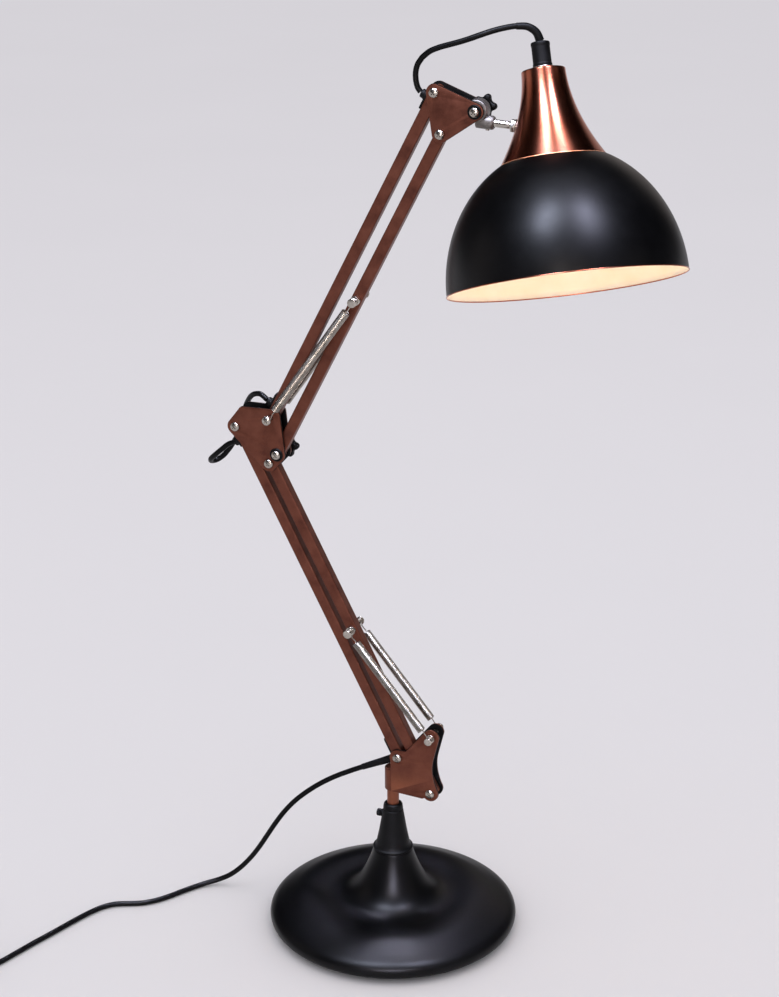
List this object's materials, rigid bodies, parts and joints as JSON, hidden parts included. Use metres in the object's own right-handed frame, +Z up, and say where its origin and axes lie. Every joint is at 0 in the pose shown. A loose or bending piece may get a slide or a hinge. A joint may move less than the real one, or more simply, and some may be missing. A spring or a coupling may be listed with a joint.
{
  "type": "swing arm desk lamp",
  "caption": "Swing arm desk lamp with a weighted round base, spring-balanced parallel bar arms, fork brackets and a dome shade with a flared neck on a swivelling rod.",
  "frame": {"origin": "centre of the base's underside, on the surface that the lamp stands on", "axes": "+Z up, both arms in the XZ plane with the shade towards +X at rest"},
  "size_m": [0.6713, 0.3685, 0.8396],
  "materials": {
    "brown_paint": "satin copper brown metallic powder coat on steel",
    "black_paint": "satin black lacquer on pressed steel",
    "shade_black": "satin black lacquer on spun aluminium, cream inside",
    "neck_copper": "copper plated and brushed round on spun aluminium",
    "nickel": "bright nickel plated steel",
    "grey_metal": "matte grey die-cast metal",
    "cast_iron": "raw grey cast iron ballast",
    "pad_rubber": "matte black foam rubber pad",
    "black_plastic": "moulded black nylon, fine texture",
    "lead_pvc": "smooth black PVC sheath",
    "opal_glass": "opal lamp glass, lit warm white",
    "cap_metal": "bright aluminium screw cap"
  },
  "bodies": {
    "base": {"base_cover": "black_paint", "base_pad": "pad_rubber", "base_weight": "cast_iron", "socket_collar": "black_plastic", "collar_nut": "nickel", "power_cord": "lead_pvc", "cord_coil": "lead_pvc", "cord_tail": "lead_pvc", "mains_plug": "black_plastic"},
    "clamp_screw": {"collar_clamp_screw": "black_plastic"},
    "lower_bracket": {"lower_bracket": "brown_paint", "post": "brown_paint", "lower_left_pivot_screw": "nickel", "lower_right_pivot_screw": "nickel", "lower_spring_stud_front": "nickel", "lower_spring_stud_rear": "nickel", "lower_spring_front": "nickel", "lower_spring_rear": "nickel"},
    "lower_left_bar": {"lower_left_tube": "brown_paint", "lower_left_foot_grommet": "black_plastic", "lower_left_top_grommet": "black_plastic", "lower_left_lead": "lead_pvc"},
    "lower_right_bar": {"lower_right_tube": "brown_paint", "lower_right_anchor_pin": "nickel"},
    "elbow_bracket": {"elbow_front_plate": "brown_paint", "elbow_rear_plate": "brown_paint", "elbow_lower_left_screw": "nickel", "elbow_lower_right_screw": "nickel", "elbow_spring_screw": "nickel", "elbow_clamp_washer": "black_plastic", "elbow_clamp_bolt": "nickel", "upper_spring_front": "nickel", "upper_spring_rear": "nickel", "elbow_cord_loop": "lead_pvc"},
    "elbow_knob": {"elbow_knob": "black_plastic"},
    "upper_left_bar": {"upper_left_tube": "brown_paint", "upper_left_foot_grommet": "black_plastic", "upper_left_top_grommet": "black_plastic", "upper_left_lead": "lead_pvc"},
    "upper_right_bar": {"upper_right_tube": "brown_paint", "upper_right_anchor_pin": "nickel"},
    "head_bracket": {"head_front_plate": "brown_paint", "head_rear_plate": "brown_paint", "head_left_pivot_screw": "nickel", "head_right_pivot_screw": "nickel", "head_clamp_washer": "black_plastic", "head_clamp_bolt": "nickel", "head_cord_loop": "lead_pvc"},
    "head_knob": {"head_knob": "black_plastic"},
    "knuckle": {"head_knuckle": "grey_metal"},
    "shade": {"shade_rod": "nickel", "rod_nut": "nickel", "shade_neck": "neck_copper", "shade_dome": "shade_black", "lampholder": "black_plastic", "bulb_cap": "cap_metal", "bulb_glass": "opal_glass", "gland_ring": "nickel", "cable_gland": "black_plastic"}
  },
  "joints": [
    {"name": "base_swivel", "type": "hinge", "parent": "base", "child": "lower_bracket", "pos_m": [0, 0, 0.1], "axis": [0, 0, 1], "range_deg": [-170, 170], "deforming": ["power_cord"]},
    {"name": "clamp_screw_turn", "type": "hinge", "parent": "base", "child": "clamp_screw", "pos_m": [-0.012, 0, 0.1103], "axis": [1, 0, 0], "range_deg": [-180, 180]},
    {"name": "lower_arm_tilt", "type": "hinge", "parent": "lower_bracket", "child": "lower_left_bar", "pos_m": [0.007, 0, 0.1737], "axis": [0, 1, 0], "range_deg": [-2, 45]},
    {"name": "lower_right_tilt", "type": "hinge", "parent": "lower_bracket", "child": "lower_right_bar", "pos_m": [0.0386, 0, 0.1427], "axis": [0, 1, 0], "range_deg": [-2, 45], "deforming": ["lower_spring_front", "lower_spring_rear"]},
    {"name": "elbow_level", "type": "hinge", "parent": "lower_left_bar", "child": "elbow_bracket", "pos_m": [-0.14592, 0, 0.47513], "axis": [0, 1, 0], "range_deg": [-45, 2], "deforming": ["elbow_cord_loop"]},
    {"name": "upper_arm_tilt", "type": "hinge", "parent": "elbow_bracket", "child": "upper_left_bar", "pos_m": [-0.11192, 0, 0.48723], "axis": [0, 1, 0], "range_deg": [-18, 68]},
    {"name": "upper_right_tilt", "type": "hinge", "parent": "elbow_bracket", "child": "upper_right_bar", "pos_m": [-0.10672, 0, 0.45323], "axis": [0, 1, 0], "range_deg": [-18, 68], "deforming": ["upper_spring_front", "upper_spring_rear"]},
    {"name": "head_level", "type": "hinge", "parent": "upper_left_bar", "child": "head_bracket", "pos_m": [0.03777, 0, 0.78357], "axis": [0, 1, 0], "range_deg": [-68, 18], "deforming": ["head_cord_loop"]},
    {"name": "elbow_knob_turn", "type": "hinge", "parent": "elbow_bracket", "child": "elbow_knob", "pos_m": [-0.10672, 0.0133, 0.45323], "axis": [0, 1, 0], "range_deg": [-180, 180]},
    {"name": "head_tilt", "type": "hinge", "parent": "head_bracket", "child": "knuckle", "pos_m": [0.07277, 0, 0.77007], "axis": [0, 1, 0], "range_deg": [-70, 20]},
    {"name": "head_knob_turn", "type": "hinge", "parent": "head_bracket", "child": "head_knob", "pos_m": [0.07277, 0.0133, 0.77007], "axis": [0, 1, 0], "range_deg": [-180, 180]},
    {"name": "shade_swivel", "type": "hinge", "parent": "knuckle", "child": "shade", "pos_m": [0.07221, 0, 0.76148], "axis": [0.9979, 0, -0.0645], "range_deg": [-70, 105]}
  ],
  "couplings": [
    {"joint": "lower_right_tilt", "follows": "lower_arm_tilt", "ratio": 1},
    {"joint": "elbow_level", "follows": "lower_arm_tilt", "ratio": -1},
    {"joint": "upper_right_tilt", "follows": "upper_arm_tilt", "ratio": 1},
    {"joint": "head_level", "follows": "upper_arm_tilt", "ratio": -1}
  ]
}
